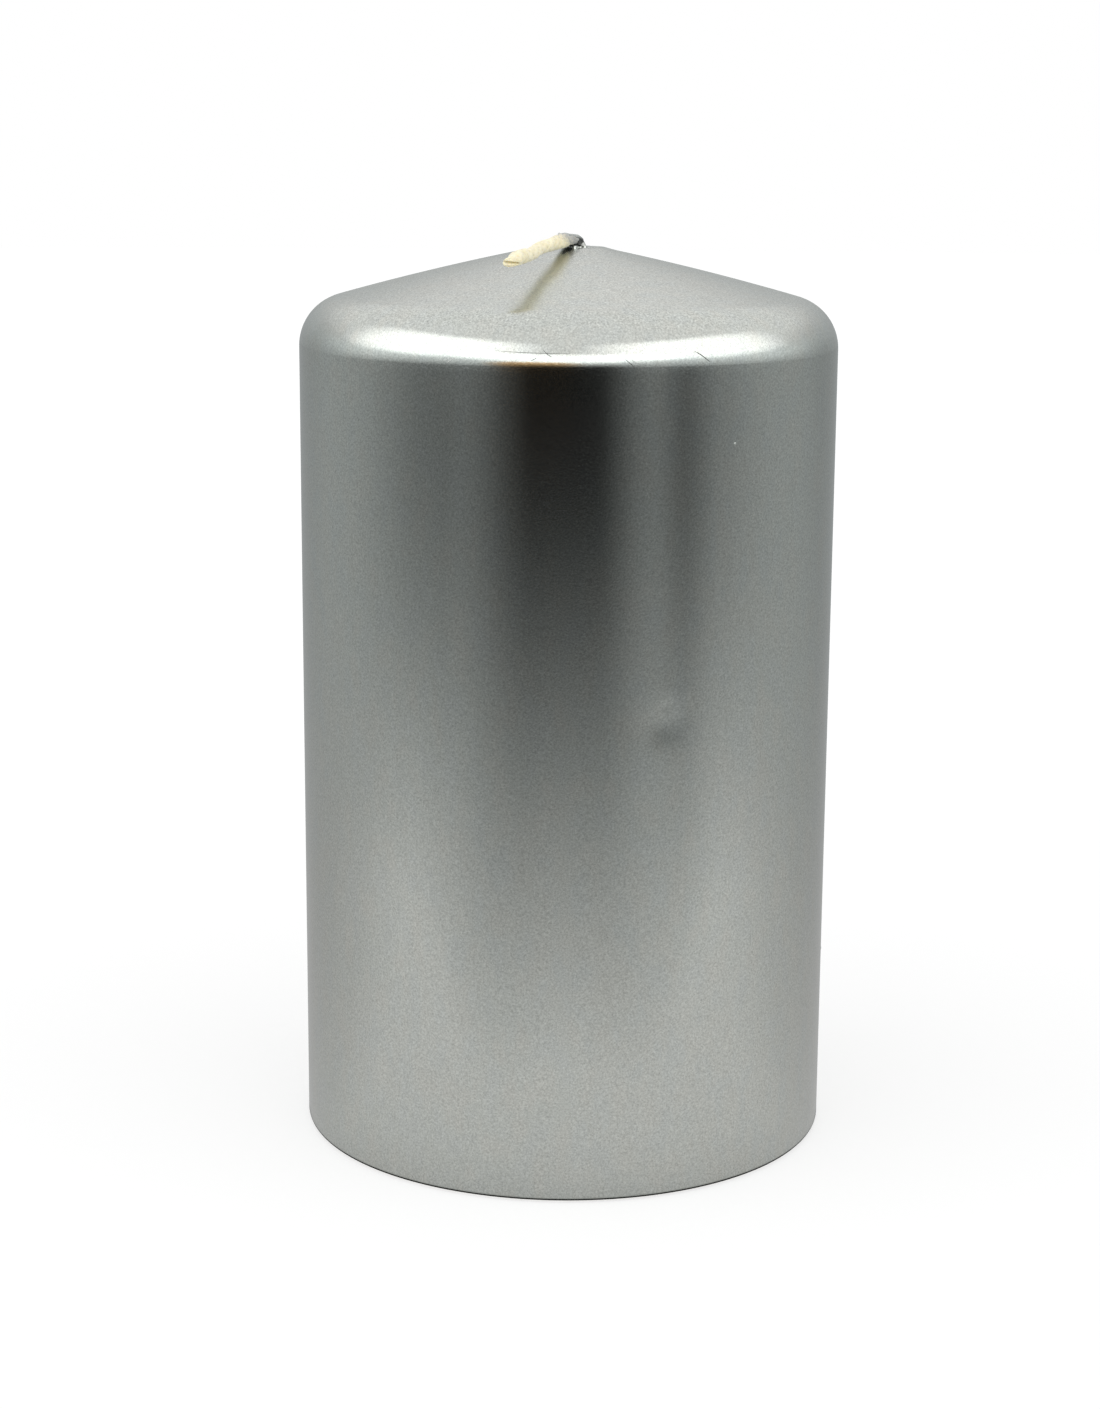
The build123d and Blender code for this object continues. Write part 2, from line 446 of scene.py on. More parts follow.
# On the wall and on the crown: how much the grain glitters, and how rough it is
GLITTER = (1.1, 1.7)
GRAIN_BUMP = (0.20, 0.32)
GRAIN_SCALE = 4000.0
GRAIN_HEIGHT = 0.02 * MM
LACQUER_LIGHT = 0.985
WALL_ROUGHNESS = (0.095, 0.105)
CROWN_ROUGHNESS = 0.26
# How much the painted shade darkens the lacquer's colour where a mesh carries it
PAINTED_SHADE_DEPTH = 0.88


def lacquer_material():
    """Aluminium flake in clear lacquer: fine grain, a faint drift of colour, a drier spray on the crown.

    Where a mesh carries a painted-shade value, its colour is darkened by it: painted shade in the pinch
    under the wick's fold and on the pool beside it.
    """
    material, n = new_material("silver_lacquer")
    place = n.place()
    on_crown = n.remap(n("ShaderNodeSeparateXYZ", {0: place}).outputs[2], *CROWN_SPRAY)
    grain = n.noise(place, GRAIN_SCALE, 2.0, 0.8)
    cloud = n.noise(place, 45.0, 3.0)
    streak = n.noise(n.stretched(place, (1.0, 1.0, 0.45)), 420.0, 2.0)
    base = n.mix(n.remap(cloud, 0.35, 0.65), (0.573, 0.595, 0.560, 1), (0.587, 0.601, 0.565, 1))
    cool = n.mix(n.remap(streak, 0.35, 0.5), (0.573, 0.595, 0.567, 1), base)
    tint = n.mix(n.remap(streak, 0.5, 0.68), cool, (0.589, 0.599, 0.559, 1))
    glitter = n.math("MULTIPLY", n.math("SUBTRACT", grain, 0.5), n.blend(on_crown, *GLITTER))
    # Painted shade: darker colour where a mesh carries it
    painted_darkening = n.math("MULTIPLY", n.vertex_value("painted_shade"), PAINTED_SHADE_DEPTH)
    shade = n.math("MULTIPLY", n.math("ADD", glitter, LACQUER_LIGHT), n.math("SUBTRACT", 1.0, painted_darkening))
    wall_roughness = n.remap(cloud, 0.3, 0.7, *WALL_ROUGHNESS)
    n.principled({
        "Base Color": n.scaled(tint, shade),
        "Metallic": 1.0,
        "Roughness": n.blend(on_crown, wall_roughness, CROWN_ROUGHNESS),
        "Normal": n.bump(grain, n.blend(on_crown, *GRAIN_BUMP), GRAIN_HEIGHT),
    })
    return material


LACQUER = lacquer_material()


def crown_circle():
    """Centre (r, z) of the crown's arc, from the corner with the wall to TIP_HEIGHT on the axis."""
    drop = TIP_HEIGHT - CORNER_HEIGHT
    half_turn = math.asin(math.hypot(BODY_RADIUS, drop) / 2 / CROWN_RADIUS)
    slope = math.atan2(drop, BODY_RADIUS) - half_turn
    return -CROWN_RADIUS * math.sin(slope), TIP_HEIGHT - CROWN_RADIUS * math.cos(slope)


def shoulder_circle():
    """Centre (r, z) of the shoulder's arc, which touches the wall and the crown."""
    crown_r, crown_z = crown_circle()
    centre_r = BODY_RADIUS - SHOULDER_RADIUS
    reach = CROWN_RADIUS - SHOULDER_RADIUS
    return centre_r, crown_z + math.sqrt(reach**2 - (centre_r - crown_r) ** 2)


def crown_height(radius):
    """Height of the crown's surface at a radius, with the small flat at its tip."""
    crown_r, crown_z = crown_circle()
    return np.minimum(crown_z + np.sqrt(CROWN_RADIUS**2 - (radius - crown_r) ** 2), FLAT_TOP)


def skin_radius(height):
    """Radius of the wall or shoulder at a height."""
    centre_r, centre_z = shoulder_circle()
    above = np.clip(height - centre_z, 0, SHOULDER_RADIUS)
    return centre_r + np.sqrt(SHOULDER_RADIUS**2 - above**2)


def arc(centre, radius, start, end, count):
    """(r, z) points along an arc."""
    angles = np.linspace(start, end, count)
    return [(centre[0] + radius * math.cos(a), centre[1] + radius * math.sin(a)) for a in angles]


HOLE_RADIUS = 1.1 * MM
EDGE_STEPS = 6
FLAT_STEPS = 10


def coat_profile(inset, wall_heights, shoulder_steps, crown_steps):
    """(r, z) of the skin from its lower edge to the wick's hole, at a depth below the surface."""
    crown, shoulder = crown_circle(), shoulder_circle()
    radius = BASE_EDGE_RADIUS
    edge_centre = (BODY_RADIUS - inset - radius, radius)
    edge_start = -math.asin((radius - COAT_BOTTOM) / radius)
    join = math.atan2(shoulder[1] - crown[1], shoulder[0] - crown[0])
    flat_z = FLAT_TOP - inset
    flat_angle = math.asin((flat_z - crown[1]) / (CROWN_RADIUS - inset))
    points = arc(edge_centre, radius, edge_start, 0, EDGE_STEPS)
    points += [(BODY_RADIUS - inset, z) for z in wall_heights]
    points += arc(shoulder, SHOULDER_RADIUS - inset, 0, join, shoulder_steps)
    points += arc(crown, CROWN_RADIUS - inset, join, flat_angle, crown_steps)[1:]
    flat_r = points[-1][0]
    points += [(r, flat_z) for r in np.linspace(flat_r, HOLE_RADIUS, FLAT_STEPS)[1:]]
    return np.array(points)


def crowded(low, high, count, middle, width, extra):
    """Values from low to high, spread evenly but with more of them around the middle."""
    finer = 20
    values = np.linspace(low, high, count * finer)
    density = 1 + extra * bell(values, middle, width)
    total = np.cumsum(density)
    return np.interp(np.linspace(total[0], total[-1], count), total, values)


# The one dent, about halfway up on the right of the front: a shallow bowl with a small nick at its top
DENT_ANGLE = math.radians(-69.8)
DENT_HEIGHT = 61.2 * MM
DENT_DEPTH = 0.11 * MM
DENT_WIDTH = 2.4 * MM
DENT_LEAN = 0.12
NICK_RISE = 2.3 * MM
NICK_DEPTH = 0.028 * MM
NICK_WIDTH = 0.7 * MM
# The slow waves of the dipped wax, which run more upright than around, and where they fade out
WAVE_DEPTH = 0.012 * MM
WAVE_SCALE = 60
WAVE_SQUASH = 0.4
WAVE_BOTTOM = (0, 8 * MM)
WAVE_TOP = (100 * MM, 112 * MM)


def dent(angle, height):
    """Depth of the dent at a point of the wall."""
    above = height - DENT_HEIGHT
    across = (angle - DENT_ANGLE) * BODY_RADIUS - DENT_LEAN * above
    bowl = DENT_DEPTH * bell(across, 0, DENT_WIDTH) * bell(above, 0, DENT_WIDTH)
    return bowl + NICK_DEPTH * bell(across, 0, NICK_WIDTH) * bell(above, NICK_RISE, NICK_WIDTH)


def waviness(points):
    """Slow unevenness of dipped wax under the lacquer, from 0 to 1."""
    return noise_at(points, WAVE_SCALE) * 0.5 + 0.5


COAT_SIDES = 300
WALL_STEPS = 120
# More points are spent near the dent, up and down and around
DENT_CROWDING = 2.5
DENT_ZONE_HEIGHT = 4 * MM
DENT_ZONE_ANGLE = 0.12
# The hole is on the wick's line, off the axis, and the points around it shift with it
HOLE_SHIFT_START = 6 * MM
HOLE_SHIFT_LENGTH = 4 * MM


def make_coat():
    shoulder_z = shoulder_circle()[1]
    crowding = (BASE_EDGE_RADIUS, shoulder_z, WALL_STEPS, DENT_HEIGHT, DENT_ZONE_HEIGHT, DENT_CROWDING)
    heights = crowded(*crowding)[1:-1]
    outer = coat_profile(0.0, heights, shoulder_steps=28, crown_steps=48)
    inner = coat_profile(COAT_THICKNESS, [], shoulder_steps=12, crown_steps=12)[::-1]
    section = np.vstack([outer, inner])
    crowding = (-math.pi, math.pi, COAT_SIDES + 1, DENT_ANGLE, DENT_ZONE_ANGLE, DENT_CROWDING)
    angles = crowded(*crowding)[:-1]
    points = np.empty((len(section), COAT_SIDES, 3))
    radius = np.repeat(section[:, :1], COAT_SIDES, axis=1)
    for i, (r, z) in enumerate(outer):
        x, y = r * np.cos(angles), r * np.sin(angles)
        places = np.stack([x, y, np.full(COAT_SIDES, z * WAVE_SQUASH)], axis=1)
        on_wall = smoothstep(z, *WAVE_BOTTOM) * (1 - smoothstep(z, *WAVE_TOP))
        radius[i] -= WAVE_DEPTH * waviness(places) * on_wall + dent(angles, z)
    shift = np.clip((HOLE_SHIFT_START - section[:, 0]) / HOLE_SHIFT_LENGTH, 0, 1)
    points[:, :, 0] = radius * np.cos(angles) + (shift * WICK_X)[:, None]
    points[:, :, 1] = radius * np.sin(angles)
    points[:, :, 2] = section[:, 1:]
    faces = ring_faces(len(section), COAT_SIDES, closed=True)
    coat = mesh_object("lacquer_skin", points.reshape(-1, 3), faces, LACQUER)
    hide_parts("lacquer_coat")
    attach(coat, "candle")


make_coat()


# ---------------------------------------------------------------- flaws caught in the lacquer

# Fibres and scratches along the shoulder: first and last bearing in degrees, first and last height,
# bend and thickness in mm, and whether it is dark (True) or bare metal.
FIBRES = [
    (25.4, 28.9, 106.3, 104.9, 0.10, 0.13, True),
    (-24.5, -22.3, 104.7, 105.4, 0.05, 0.09, False),
    (-25.2, -23.4, 104.9, 105.5, -0.05, 0.07, False),
    (-5.0, -3.1, 106.6, 105.7, -0.12, 0.09, True),
    (-7.3, -6.1, 105.2, 105.6, 0.03, 0.08, True),
    (11.0, 13.0, 105.5, 104.4, 0.06, 0.10, True),
    (12.2, 13.4, 105.5, 104.9, 0.00, 0.07, False),
    (44.6, 44.2, 107.1, 105.6, 0.08, 0.10, False),
    (-14.8, 0.5, 106.35, 106.15, -0.08, 0.06, True),
    (128.0, 131.5, 106.9, 106.2, 0.10, 0.10, True),
    (-150.0, -148.4, 105.9, 106.5, 0.06, 0.09, False),
]
# Small grains under the lacquer: bearing in degrees, height and radius in mm
GRAINS = [
    (35.2, 95.0, 0.18), (-71.0, 38.0, 0.22), (160.0, 71.0, 0.28), (-118.0, 88.0, 0.20),
    (84.0, 24.0, 0.24),
]
GRAIN_SIDES = 16
GRAIN_RINGS = 8
GRAIN_END = 0.06
GRAIN_FLATNESS = 0.3
FIBRE_STEPS = 14
# Shares of a fibre's thickness and of a grain's radius by which its middle is sunk in the skin
FIBRE_SINK = 0.2
GRAIN_SINK = 0.12


def flaw_material(name, colour, roughness):
    material, n = new_material(name)
    shade = n.remap(n.noise(n.place(), 9000.0, 2.0), 0.3, 0.7, 0.7, 1.1)
    n.principled({"Base Color": n.scaled(colour, shade), "Metallic": 0.7, "Roughness": roughness})
    return material


def skin_point(bearing, height, lift):
    """Point over the wall or shoulder at a bearing from the front."""
    angle = math.radians(bearing) - math.pi / 2
    radius = skin_radius(height) + lift
    return np.array((radius * math.cos(angle), radius * math.sin(angle), height))


STRAND_TIP = 0.08
STRAND_SIDE_HINT = (0.3, 0.2, 1.0)


def strand_rings(line, thickness, sides):
    """Rings round a line of points, thinner towards both ends."""
    line = np.array(line)
    along = np.gradient(line, axis=0)
    along /= np.linalg.norm(along, axis=1, keepdims=True)
    side = np.cross(along, STRAND_SIDE_HINT)
    side /= np.linalg.norm(side, axis=1, keepdims=True)
    up = np.cross(side, along)
    taper = np.sqrt(np.sin(np.linspace(STRAND_TIP, math.pi - STRAND_TIP, len(line))))
    turn = turns(sides)
    spread = side[:, None] * np.cos(turn)[None, :, None] + up[:, None] * np.sin(turn)[None, :, None]
    return line[:, None] + spread * (taper * thickness / 2)[:, None, None]


def fibre_line(fibre):
    start, end, high, low, bend, thickness, _ = fibre
    t = np.linspace(0, 1, FIBRE_STEPS)
    bearings = start + (end - start) * t
    heights = (high + (low - high) * t + bend * np.sin(math.pi * t)) * MM
    return [skin_point(b, h, -FIBRE_SINK * thickness * MM) for b, h in zip(bearings, heights)]


def make_fibres(name, dark, material):
    pieces = Pieces()
    for fibre in FIBRES:
        *_, thickness, is_dark = fibre
        if is_dark == dark:
            pieces.tube(strand_rings(fibre_line(fibre), thickness * MM, sides=6))
    fibres = mesh_object(name, pieces.vertices, pieces.faces, material)
    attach(fibres, "candle")


def dome_rings(bearing, height, radius):
    """Rings of a low round dome that stands a little out of the wall."""
    centre = skin_point(bearing, height, -GRAIN_SINK * radius)
    angle = math.radians(bearing) - math.pi / 2
    out = np.array((math.cos(angle), math.sin(angle), 0))
    side = np.array((-out[1], out[0], 0))
    up = np.array((0, 0, 1))
    turn = turns(GRAIN_SIDES)
    around = side[None] * np.cos(turn)[:, None] + up[None] * np.sin(turn)[:, None]
    rings = []
    for rise in np.linspace(0, math.pi / 2 - GRAIN_END, GRAIN_RINGS):
        lift = out * radius * GRAIN_FLATNESS * math.sin(rise)
        rings.append(centre + lift + around * radius * math.cos(rise))
    return np.array(rings)


def make_grains():
    pieces = Pieces()
    for bearing, height, radius in GRAINS:
        pieces.tube(dome_rings(bearing, height * MM, radius * MM))
    grains = mesh_object("lacquer_grains", pieces.vertices, pieces.faces, LACQUER)
    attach(grains, "candle")


make_fibres("dark_fibres", True, flaw_material("fibre_under_lacquer", (0.10, 0.10, 0.095), 0.35))
make_fibres("bright_fibres", False, flaw_material("bare_scratch", (0.62, 0.62, 0.60), 0.18))
make_grains()


# ---------------------------------------------------------------- wick

OUTWARD = np.array((-math.cos(WICK_AZIMUTH), -math.sin(WICK_AZIMUTH), 0.0))
ACROSS = np.array((OUTWARD[1], -OUTWARD[0], 0.0))
UP = np.array((0.0, 0.0, 1.0))

FOLD_START = 117.2 * MM
FOLD_RADIUS = 0.8 * MM
# How the free end lies: distance out from the root and height, in mm
LIE = [
    (0.8, 118.0), (2.6, 118.12), (4.8, 118.20), (7.3, 118.12), (11.4, 117.83), (15.4, 117.50),
    (19.3, 116.98), (22.2, 116.80), (24.6, 116.60), (26.5, 116.30),
]
# By distance out in mm: its half thickness, as a share of the stem's
GIRTH = [(0.0, 1.0), (5.0, 0.98), (10.0, 0.90), (14.0, 0.82), (18.0, 0.80), (22.0, 0.93), (26.5, 0.95)]
# By distance out in mm: how far it sways sideways, in mm
SWAY = [(0.8, 0.0), (5.0, 0.05), (10.0, -0.08), (15.0, 0.12), (20.0, -0.10), (24.0, 0.04), (26.5, 0.0)]

# Distance between rings of points, and where the stem's rings get closer together
COARSE_STEP = 0.6 * MM
FINE_STEP = 0.11 * MM
FINE_START = 115 * MM
FOLD_STEPS = 14
FOLD_GAP = 0.08 * MM

# The flattening at the fold, by rise plus reach and then by reach, and the thinning at the tip
FOLD_SQUEEZE = (117.0 * MM, 118.2 * MM)
FOLD_RELEASE = (3.0 * MM, 7.0 * MM)
FOLD_THINNER = 0.22
FOLD_WIDER = 0.04
TIP_STRETCH = (24.4 * MM, 26.4 * MM)
TIP_THINNER = 0.32

STRANDS = 4
BRAID_PITCH = 8.4 * MM
STRAND_HEIGHT = 0.075 * MM
WEAVE_HEIGHT = 0.035 * MM
YARN_HEIGHT = 0.010 * MM
LUMP_HEIGHT = 0.09 * MM
LUMP_SCALE = 420
LUMPS_FROM = 2 * MM
BUCKLE_REACH = FOLD_RADIUS * 0.3
BUCKLE_ROUND = (-0.75, 0.6)
BUCKLE_DEPTH = 0.30 * MM
BUCKLE_WIDTH = 0.30 * MM
WICK_SIDES = 72
WICK_SWELL = 0.03 * MM


def wick_path():
    """Points along the wick's middle, with the direction that faces away from the inside of the fold."""
    stem = np.concatenate([
        np.arange(WICK_BOTTOM, FINE_START, COARSE_STEP),
        np.arange(FINE_START, FOLD_START, FINE_STEP),
    ])
    turn = np.linspace(0, math.pi / 2, FOLD_STEPS)
    lie = np.array(LIE) * MM
    out = np.arange(FOLD_RADIUS + FOLD_GAP, lie[-1, 0], FINE_STEP)
    reach = np.concatenate([np.zeros(len(stem)), FOLD_RADIUS * (1 - np.cos(turn)), out])
    rise = np.concatenate([stem, FOLD_START + FOLD_RADIUS * np.sin(turn), smooth_curve(lie, out)])
    sway = np.where(reach > FOLD_RADIUS, smooth_curve(np.array(SWAY) * MM, reach), 0)
    root = np.array((WICK_X, 0, 0))
    middle = root + reach[:, None] * OUTWARD + rise[:, None] * UP + sway[:, None] * ACROSS
    along = np.gradient(middle, axis=0)
    along /= np.linalg.norm(along, axis=1, keepdims=True)
    outer = np.cross(ACROSS, along)
    outer /= np.linalg.norm(outer, axis=1, keepdims=True)
    length = np.concatenate([[0], np.cumsum(np.linalg.norm(np.diff(middle, axis=0), axis=1))])
    return middle, along, outer, length, reach, rise


def strand_profile(phase):
    """1 on a strand's ridge and 0 in the valleys, +1 or -1 by its turn, and the phase across it."""
    turn = np.round(phase / (2 * math.pi))
    across = phase - turn * 2 * math.pi
    return np.cos(across / 2), 1 - 2 * np.mod(turn, 2), across


def braid_relief(turn, length):
    """Height of the plait: two families of strands that pass over and under each other."""
    wind = 2 * math.pi * STRANDS * length / BRAID_PITCH
    right, left = STRANDS * turn + wind, STRANDS * turn - wind
    right_ridge, right_sign, right_across = strand_profile(right)
    left_ridge, left_sign, left_across = strand_profile(left)
    over_right = STRAND_HEIGHT * right_ridge + WEAVE_HEIGHT * right_sign * np.cos(left / 2)
    over_left = STRAND_HEIGHT * left_ridge - WEAVE_HEIGHT * left_sign * np.cos(right / 2)
    right_yarns = np.cos(3 * right_across + left / 3)
    left_yarns = np.cos(3 * left_across - right / 3)
    yarns = np.where(over_right > over_left, right_yarns, left_yarns)
    return np.maximum(over_right, over_left) + YARN_HEIGHT * yarns


def wick_section(reach, rise):
    """Half thickness in the fold's plane and half width across it, along the wick."""
    at_fold = smoothstep(rise + reach, *FOLD_SQUEEZE) * (1 - smoothstep(reach, *FOLD_RELEASE))
    at_tip = smoothstep(reach, *TIP_STRETCH)
    girth = WICK_RADIUS * smooth_curve(np.array(GIRTH) * (MM, 1), reach)
    thick = girth * (1 - FOLD_THINNER * at_fold - TIP_THINNER * at_tip)
    wide = girth * (1 + FOLD_WIDER * at_fold)
    return thick, wide


PATH = wick_path()


def wick_rings(first, last, extra, smoothing):
    """Rings of the wick's surface, raised by extra and with its relief softened by smoothing."""
    middle, _, outer, length, reach, rise = (part[first:last] for part in PATH)
    turn = turns(WICK_SIDES)[None, :]
    thick, wide = wick_section(reach, rise)
    relief = braid_relief(turn, length[:, None]) - STRAND_HEIGHT - WEAVE_HEIGHT
    lumps = tube_noise(turn[0], length, 1, LUMP_SCALE)
    free = smoothstep(reach, 0, LUMPS_FROM)[:, None]
    fold_middle = np.interp(BUCKLE_REACH, PATH[4], PATH[3])
    buckle = bell(length, fold_middle, BUCKLE_WIDTH)[:, None] * smoothstep(-np.cos(turn), *BUCKLE_ROUND)
    raise_by = relief * (1 - smoothing) + LUMP_HEIGHT * lumps * free + extra - BUCKLE_DEPTH * buckle
    up = np.cos(turn) * (thick[:, None] + raise_by)
    side = np.sin(turn) * (wide[:, None] + raise_by)
    return middle[:, None] + outer[:, None] * up[:, :, None] + ACROSS * side[:, :, None]


CUT_LENGTH = 1.6 * MM
CUT_SLANT = 0.15 * MM
CUT_SIDE_SLANT = 0.75 * MM
CREASE_TILT = 0.30
CREASE_DEPTH = 0.7 * MM
CREASE_WIDTH = 0.13 * MM
CREASE_MIDDLE = -0.08 * MM
CAP_STEPS = 14
CAP_BULGE = 0.28 * MM
TUFT_HEIGHT = 0.09 * MM
TUFT_SCALE = 3600


def cut_end(rings):
    """Slants the last stretch of the wick, and closes it with a pinched, creased end."""
    _, along, outer = (part[-1] for part in PATH[:3])
    reach = PATH[4]
    slant_share = smoothstep(reach, reach[-1] - CUT_LENGTH, reach[-1])[:, None]
    offset = rings - PATH[0][:, None]
    high = offset @ outer / WICK_RADIUS
    wide = offset @ ACROSS / WICK_RADIUS
    rings = rings + along * (slant_share * (CUT_SLANT * high + CUT_SIDE_SLANT * wide))[:, :, None]
    rim = rings[-1]
    centre = rim.mean(axis=0)
    caps = []
    for step in range(1, CAP_STEPS + 1):
        scale = 1 - step / (CAP_STEPS + 0.5)
        ring = centre + (rim - centre) * scale
        height = (ring - centre) @ outer - CREASE_TILT * (ring - centre) @ ACROSS
        crease = CREASE_DEPTH * bell(height, CREASE_MIDDLE, CREASE_WIDTH) * (1 - scale**6)
        push = CAP_BULGE * (1 - scale**2) - crease + TUFT_HEIGHT * noise_at(ring, TUFT_SCALE)
        caps.append(ring + along * push[:, None])
    return np.concatenate([rings, np.array(caps)])


def wick_material():
    """Waxed cotton: cream, with painted shade in the plait's valleys, and a dusting of lacquer towards
    its root.
    """
    material, n = new_material("cotton_wick")
    place = n.place()
    stain = n.noise(place, 520.0, 3.0)
    fluff = n.noise(place, 3600.0, 4.0, 0.7)
    pale = n.mix(n.remap(stain, 0.35, 0.65), (0.83, 0.75, 0.50, 1), (0.88, 0.82, 0.60, 1))
    # Painted shade: darker, olive colour in the plait's valleys
    deep = n.mix(n.math("MULTIPLY", n.vertex_value("valley_shade"), 0.75), pale, (0.69, 0.61, 0.38, 1))
    speck = n.mix(n.remap(fluff, 0.36, 0.48), (0.74, 0.65, 0.45, 1), deep)
    unevenness = n.math("MULTIPLY", n.math("SUBTRACT", fluff, 0.5), 2.5)
    patchy = n.remap(n.math("ADD", n.vertex_value("dusting"), unevenness), 0.3, 0.9)
    height = n.math("ADD", fluff, n.math("MULTIPLY", stain, 2.0))
    n.principled({
        "Base Color": n.mix(patchy, speck, (0.42, 0.42, 0.40, 1)),
        "Metallic": n.math("MULTIPLY", patchy, 0.8),
        "Roughness": 0.62,
        "Normal": n.bump(height, 0.6, 0.08 * MM),
        "Sheen Weight": 0.25,
        "Sheen Roughness": 0.5,
        "Subsurface Weight": 0.12,
        "Subsurface Radius": (0.6, 0.45, 0.25),
        "Subsurface Scale": 0.6 * MM,
    })
    return material


def add_values(thing, name, values):
    attribute = thing.data.attributes.new(name, "FLOAT", "POINT")
    attribute.data.foreach_set("value", np.asarray(values, dtype=np.float32).ravel())


# Reliefs over which the painted shade in the plait's valleys fades out
VALLEY_RELIEF = (0.2 * STRAND_HEIGHT, 0.9 * STRAND_HEIGHT)
# Painted shade on the cut end
CUT_END_SHADE = 0.2
DUSTING_START = 3.0 * MM
DUSTING_END = 7.5 * MM
DUSTING_MORE_ON_TOP = 7.0 * MM


def wick_marks(rings):
    """Painted shade by how deep each point of the plait lies, and how much lacquer reached it, both from
    0 to 1.
    """
    turn = turns(WICK_SIDES)[None, :]
    length, reach = PATH[3], PATH[4]
    relief = braid_relief(turn, length[:, None])
    valley_shade = 1 - smoothstep(relief, *VALLEY_RELIEF)
    topside = 0.5 + 0.5 * np.cos(turn)
    dusting = 1 - smoothstep(reach[:, None], DUSTING_START, DUSTING_END + DUSTING_MORE_ON_TOP * topside)
    cap = (len(rings) - len(length), WICK_SIDES)
    valley_shade = np.concatenate([valley_shade, np.full(cap, CUT_END_SHADE)])
    dusting = np.concatenate([dusting, np.zeros(cap)])
    return valley_shade, dusting


def blend_wick(thing):
    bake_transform(thing)


COTTON = wick_material()


def make_wick():
    rings = cut_end(wick_rings(0, None, WICK_SWELL, 0.0))
    valley_shade, dusting = wick_marks(rings)
    pieces = Pieces()
    pieces.tube(rings)
    wick = mesh_object("wick", pieces.vertices, pieces.faces, COTTON)
    add_values(wick, "valley_shade", valley_shade)
    add_values(wick, "dusting", dusting)
    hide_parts("wick_stem", "wick_end")
    blend_wick(wick)


make_wick()


# ---------------------------------------------------------------- frayed fibres at the wick's cut

FRAY_COUNT = 9
FRAY_THICKNESS = 0.035 * MM
FRAY_ROOT = 0.3 * MM
# Painted shade on the frayed fibres
FRAY_SHADE = 0.1
FRAY_SEED = 7


def fray_line(dice):
    """A short bent cotton fibre that starts in the cut end."""
    middle, along, outer = (part[-1] for part in PATH[:3])
    start = middle - along * FRAY_ROOT
    start = start + outer * dice.uniform(-0.45, 0.5) * MM + ACROSS * dice.uniform(-0.8, 0.8) * MM
    heading = along + outer * dice.uniform(-0.5, 0.4) + ACROSS * dice.uniform(-0.5, 0.5)
    bend = outer * dice.uniform(-0.5, 0.3) + ACROSS * dice.uniform(-0.4, 0.4)
    reach = dice.uniform(0.45, 0.8) * MM
    return [start + (heading * t + bend * t * t) * reach for t in np.linspace(0, 1, 9)]


def make_fray():
    dice = random.Random(FRAY_SEED)
    pieces = Pieces()
    for _ in range(FRAY_COUNT):
        pieces.tube(strand_rings(fray_line(dice), FRAY_THICKNESS, sides=5))
    fray = mesh_object("wick_fray", pieces.vertices, pieces.faces, COTTON)
    add_values(fray, "valley_shade", np.full(len(pieces.vertices), FRAY_SHADE))
    add_values(fray, "dusting", np.zeros(len(pieces.vertices)))
    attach(fray, "wick_free_end")


make_fray()


# ---------------------------------------------------------------- lacquer on the wick's root

SLEEVE_HEIGHT = 0.055 * MM
SLEEVE_SINK = -0.10 * MM
SLEEVE_CORE = 0.7
SLEEVE_SMOOTHING = 0.45
# From this height on the stem to this distance out, with its cover fading over a ragged line
SLEEVE_START = 116.9 * MM
SLEEVE_END = 9.0 * MM
SLEEVE_FADE = 0.9 * MM
RAG_DEPTH = 1.6 * MM
RAG_SCALES = (2.2, 900)
# Painted shade in the pinch under the fold: by how much a point faces the pinch, and by distance out
PAINTED_SHADE_FACING = (0.1, 0.6)
PAINTED_SHADE_FADE = (3.5 * MM, 7.0 * MM)
# A small blob of lacquer on top of the sleeve
NUB_REACH = 6.0 * MM
NUB_RADIUS = 0.20 * MM
NUB_RISE = 0.88 * WICK_RADIUS
NUB_ACROSS = 0.45 * MM
NUB_SIDES = 14
NUB_RINGS = 10
NUB_END = 0.15
NUB_SQUASH = 0.75
NUB_UNEVENNESS = 0.35
NUB_NOISE_SCALE = 1.6
NUB_NOISE_PLACE = Vector((3.0, 0, 0))


def sleeve_cover(reach):
    """How far the lacquer stands over the cotton: it ends raggedly, and soonest on the right side."""
    turn = turns(WICK_SIDES)
    edge = (5.2 + 1.5 * np.sin(turn) + 1.1 * np.cos(2 * turn)) * MM
    past = reach[:, None] - edge + RAG_DEPTH * tube_noise(turn, reach, *RAG_SCALES)
    return SLEEVE_HEIGHT + (SLEEVE_SINK - SLEEVE_HEIGHT) * smoothstep(past, -SLEEVE_FADE, SLEEVE_FADE)


def painted_fold_shade(reach):
    """Painted shade, 0 to 1: in the pinch under the fold and round to its right side."""
    turn = turns(WICK_SIDES)
    facing = -0.75 * np.sin(turn) - 0.65 * np.cos(turn)
    return smoothstep(facing, *PAINTED_SHADE_FACING) * (1 - smoothstep(reach[:, None], *PAINTED_SHADE_FADE))


def nub_rings(centre):
    """Rings of a small uneven blob."""
    rings = []
    turn = turns(NUB_SIDES)
    for rise in np.linspace(-math.pi / 2 + NUB_END, math.pi / 2 - NUB_END, NUB_RINGS):
        x, y = np.cos(turn) * math.cos(rise), np.sin(turn) * math.cos(rise)
        ring = np.stack([x, y, np.full(NUB_SIDES, math.sin(rise) * NUB_SQUASH)], axis=1)
        wobble = np.array([noise.noise(Vector(p) * NUB_NOISE_SCALE + NUB_NOISE_PLACE) for p in ring])
        rings.append(centre + ring * (1 + NUB_UNEVENNESS * wobble)[:, None] * NUB_RADIUS)
    return np.array(rings)


